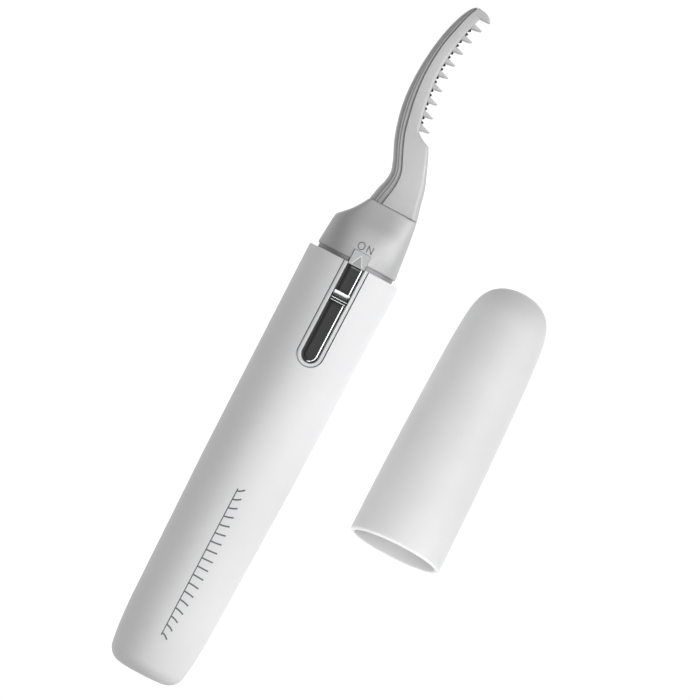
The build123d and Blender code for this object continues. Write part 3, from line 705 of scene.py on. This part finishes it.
def build_knob():
    """The ribbed knob: a black block of painted shade on a narrow stem, with two thin ridges of painted
    highlight and a wide chrome one across it.
    """
    low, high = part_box("switch_knob")
    start, end = low.y + 0.10 * MM, high.y - 0.08 * MM
    seat, block_top = low.z + 0.55 * MM, high.z - 0.42 * MM
    stem_half, stem_gap, buried = 0.6 * MM, 0.4 * MM, 0.2 * MM
    bevelled_block("knob_stem", Vector((-stem_half, start + stem_gap, low.z)),
                   Vector((stem_half, end - stem_gap, seat + buried)), 0.05 * MM, "chrome_trim", "switch",
                   ["switch_knob"], finish="painted_shade_black")
    bevelled_block("knob_block", Vector((low.x, start, seat)), Vector((high.x, end, block_top)), 0.08 * MM,
                   "chrome_trim", "switch", finish="painted_shade_black")
    # The black between the ribs is painted shade, and the two thin ribs' near-white metal is painted
    # highlight.
    # Each rib's start and end as shares of the knob's length, how far below its top it is, and its finish.
    ribs = ((0.05, 0.15, 0.20, "painted_highlight_metal"),
            (0.27, 0.39, 0.14, "painted_highlight_metal"),
            (0.52, 1.0, 0.0, "knob_chrome"))
    half_width, rib_foot = high.x - 0.02 * MM, block_top - 0.15 * MM
    end_drop, flat_share = 0.10 * MM, 0.75     # a rib is level up to this share of its half, and then drops
    margin = 0.06
    for number, (first, last, drop, finish) in enumerate(ribs, start=1):
        y_first, y_last, top = start + first * (end - start), start + last * (end - start), high.z - drop * MM
        rings = []
        for side in spread(-1, 1, 13):
            sink = end_drop * (max(0.0, abs(side) - flat_share) / (1 - flat_share)) ** 2
            x = side * half_width
            ring = [Vector((x, y_first, rib_foot))]
            for t in spread(0, 1, 9):
                y = y_first + (y_last - y_first) * (margin + (1 - 2 * margin) * t)
                rise = rib_rise(t, finish == "knob_chrome")
                ring.append(Vector((x, y, block_top + (top - block_top) * rise - sink)))
            ring.append(Vector((x, y_last, rib_foot)))
            rings.append(ring)
        name = f"knob_rib_{number}"
        finish_mesh(name, skin_mesh(name, rings), "chrome_trim", "switch", sharp=50, finish=finish)


def build_lens():
    """The lens: a pad and its light-guide foot, with an arrowhead mark of painted highlight strokes on a
    triangle of painted shade.
    """
    low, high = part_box("indicator_lens")
    pad_end, pad_depth, pad_top = mouth + 2.75 * MM, 1.8 * MM, high.z - 0.03 * MM
    pad = bevelled_block("lens_pad", Vector((low.x, low.y, high.z - pad_depth)),
                         Vector((high.x, pad_end, pad_top)), 0.09 * MM, "clear_lens", "chassis",
                         ["indicator_lens"])
    foot_half, overlap, foot_top = 1.2 * MM, 0.15 * MM, 6.3 * MM
    bevelled_block("lens_foot", Vector((-foot_half, pad_end - overlap, low.z)),
                   Vector((foot_half, high.y, foot_top)), 0.06 * MM, "clear_lens", "chassis")
    foot_h, apex_h, reach, stroke_width, lift = 0.05, 2.17, 1.05, 0.17, 0.010
    buried, proud = -0.05, 0.004               # the triangle's lower and upper side, from the pad's top
    # The arrowhead's light strokes are painted highlights, and the darker triangle under them is painted
    # shade.
    outline = [at(-reach, foot_h, 0), at(reach, foot_h, 0), at(0, apex_h, 0)]
    field = [[Vector((p.x, p.y, pad_top + z * MM)) for p in outline] for z in (buried, proud)]
    finish_mesh("arrow_field", skin_mesh("arrow_field", field), "clear_lens", "chassis", sharp=30,
                finish="lens_shade")
    strokes = []
    for side in (-1, 1):
        line = [(side * reach, foot_h), (side * reach / 2, (foot_h + apex_h) / 2), (0, apex_h)]
        strokes.append(ribbon(pad, line, stroke_width, lift))
    finish_mesh("arrow_strokes", skin_mesh("arrow_strokes", *strokes), "clear_lens", "chassis", sharp=60,
                finish="lens_mark_painted_highlight")


# ---- marks ---------------------------------------------------------------------------------------------
def build_on_mark(collar):
    """The switch's ON mark, in thin strokes on the collar."""
    low_h, high_h, stroke_width, lift = 3.08, 4.50, 0.19, 0.012
    o_middle, o_width = -0.85, 1.28
    n_left, n_width = 0.45, 0.98
    middle_h, tall = (low_h + high_h) / 2, high_h - low_h
    ring = [(o_middle + o_width / 2 * cos(a), middle_h + tall / 2 * sin(a)) for a in spread(0, 2 * pi, 33)]
    diagonal = [(n_left + n_width * t, high_h - tall * t) for t in spread(0, 1, 6)]
    posts = [[(x, h) for h in spread(low_h, high_h, 8)] for x in (n_left, n_left + n_width)]
    strokes = [ribbon(collar, line, stroke_width, lift) for line in (ring, diagonal, *posts)]
    finish_mesh("on_mark", skin_mesh("on_mark", *strokes), "grey_satin", "chassis", sharp=60,
                finish="mark_grey")


def build_lash_row():
    """A printed row of curved lashes on a thin line along the barrel, in place of any name."""
    start, end, base_x, count = -47.2, -78.2, -0.35, 18
    line_width, lash_width, lift = 0.22, 0.30, 0.006
    first_share, last_share = 0.015, 0.985     # where along the line the first and the last lash stand
    short, extra, fan = 1.35, 0.95, 1.6        # the end lashes' height, the middle ones' more, and the lean
    sleeve = nodes["barrel_sleeve"]
    strokes = [ribbon(sleeve, [(base_x, h) for h in spread(start, end, 40)], line_width, lift)]
    for share in spread(0, 1, count):
        h = start + (end - start) * (first_share + (last_share - first_share) * share)
        tall, sweep = short + extra * sin(pi * share), (share - 0.5) * fan
        lash = [(base_x + tall * t, h - sweep * t ** 1.7) for t in spread(0, 1, 9)]
        strokes.append(ribbon(sleeve, lash, lash_width, lift))
    finish_mesh("lash_row", skin_mesh("lash_row", *strokes), "white_shell", "sleeve", sharp=60,
                finish="mark_grey")


collar = build_collar()
build_comb()
build_spine()
build_teeth("teeth_front", "tooth_strip_front", 0.8, 1.5)
build_teeth("teeth_back", "tooth_strip_back", -1.5, -0.8)
build_heater()
build_bezel()
build_channel()
build_knob()
build_lens()
build_on_mark(collar)
build_lash_row()

# ---- floor, lights and camera --------------------------------------------------------------------------
roll = radians(27.63)                  # the pen leans this far clockwise in the picture
lean = radians(3.2)                    # the camera stands this far towards the comb's back
view_centre = Vector((6.67 * MM, mouth - 14.5 * MM, 0))
view_width = 132.3 * MM
camera_distance = 0.9
picture_right = Vector((cos(roll), sin(roll), 0))
picture_up = Vector((-sin(roll), cos(roll), 0))

floor_half = 2
corners = [(x * floor_half, y * floor_half, floor_z) for x, y in ((-1, -1), (1, -1), (1, 1), (-1, 1))]
floor_obj = bpy.data.objects.new("floor", mesh_from("floor", corners, [(0, 1, 2, 3)]))
scene.collection.objects.link(floor_obj)
floor_material, *_, floor_shader = new_material("floor")
floor_shader.inputs["Base Color"].default_value = (0.96, 0.96, 0.96, 1)
floor_shader.inputs["Roughness"].default_value = 0.7
floor_shader.inputs["Specular IOR Level"].default_value = 0.1
floor_obj.data.materials.append(floor_material)


def softbox(name, offset, size, power):
    """A rectangular area light, aimed at the pen.

    Its offset from the view's centre is to the right in the picture, up in the picture, and in height.
    """
    light = bpy.data.lights.new(name, "AREA")
    light.shape = "RECTANGLE"
    light.size, light.size_y = size
    light.energy = power
    obj = bpy.data.objects.new(name, light)
    scene.collection.objects.link(obj)
    place = view_centre + picture_right * offset[0] + picture_up * offset[1] + Vector((0, 0, offset[2]))
    obj.location = place
    obj.rotation_euler = (view_centre - place).to_track_quat("-Z", "Y").to_euler()
    return obj


def light_group(name, members, excluded=False):
    """A collection for light linking: these objects alone, or everything except them."""
    group = bpy.data.collections.new(name)
    for member in members:
        group.objects.link(member)
    for entry in group.collection_objects:
        entry.light_linking.link_state = "EXCLUDE" if excluded else "INCLUDE"
    return group


cap = nodes["cap"]
backdrop = light_group("backdrop", [floor_obj])
off_backdrop = light_group("off_backdrop", [floor_obj], excluded=True)
pen_only = light_group("pen_only", [cap, floor_obj], excluded=True)
cap_only = light_group("cap_only", [cap])

# The floor has its own broad overhead light, as a studio lights its backdrop apart from the object. Nothing
# else is lit by it or blocks it, and the other lights pass the floor by, so no shadow falls on the floor.
# The low side light passes the cap by too, because the cap would shade the pen beside it. The cap has two
# lights of its own, a fill on its left and one that reaches a little way into its mouth.
# Each light's name, offset, size and power, what it lights, and what blocks it where that isn't everything:
lights = (("key_right", (0.46, -0.05, 0.44), (0.5, 0.7), 3.2, off_backdrop, None),
          ("top", (-0.05, 0.0, 0.9), (0.7, 0.7), 3.9, off_backdrop, None),
          ("side_right", (0.6, 0.0, 0.16), (0.7, 0.25), 1.3, pen_only, pen_only),
          ("fill_left", (-0.45, 0.0, 0.8), (0.5, 0.5), 0.7, off_backdrop, None),
          ("backdrop_light", (0, 0, 1.2), (1.6, 1.6), 22.5, backdrop, backdrop),
          ("cap_fill", (-0.45, -0.35, 0.4), (0.5, 0.5), 3.4, cap_only, None),
          ("cap_mouth_light", (0.2, -0.6, 0.22), (0.3, 0.3), 1.6, cap_only, None))
for name, offset, size, power, receivers, blockers in lights:
    light = softbox(name, offset, size, power)
    light.light_linking.receiver_collection = receivers
    if blockers:
        light.light_linking.blocker_collection = blockers

sky_strength = 0.08
world = bpy.data.worlds.new("studio")
scene.world = world
world.use_nodes = True
world.node_tree.nodes["Background"].inputs["Color"].default_value = (1, 1, 1, 1)
world.node_tree.nodes["Background"].inputs["Strength"].default_value = sky_strength

sensor_width = 36
camera_data = bpy.data.cameras.new("camera")
camera_data.sensor_width = sensor_width
camera_data.lens = sensor_width * camera_distance / view_width
camera = bpy.data.objects.new("camera", camera_data)
scene.collection.objects.link(camera)
look = Vector((sin(lean), 0, -cos(lean)))
across_view = Vector((cos(lean), 0, sin(lean)))
along_view = Vector((0, 1, 0))
right = across_view * cos(roll) + along_view * sin(roll)
up = -across_view * sin(roll) + along_view * cos(roll)
turned = Matrix((right, up, -look)).transposed().to_4x4()
camera.matrix_world = Matrix.Translation(view_centre - look * camera_distance) @ turned
scene.camera = camera
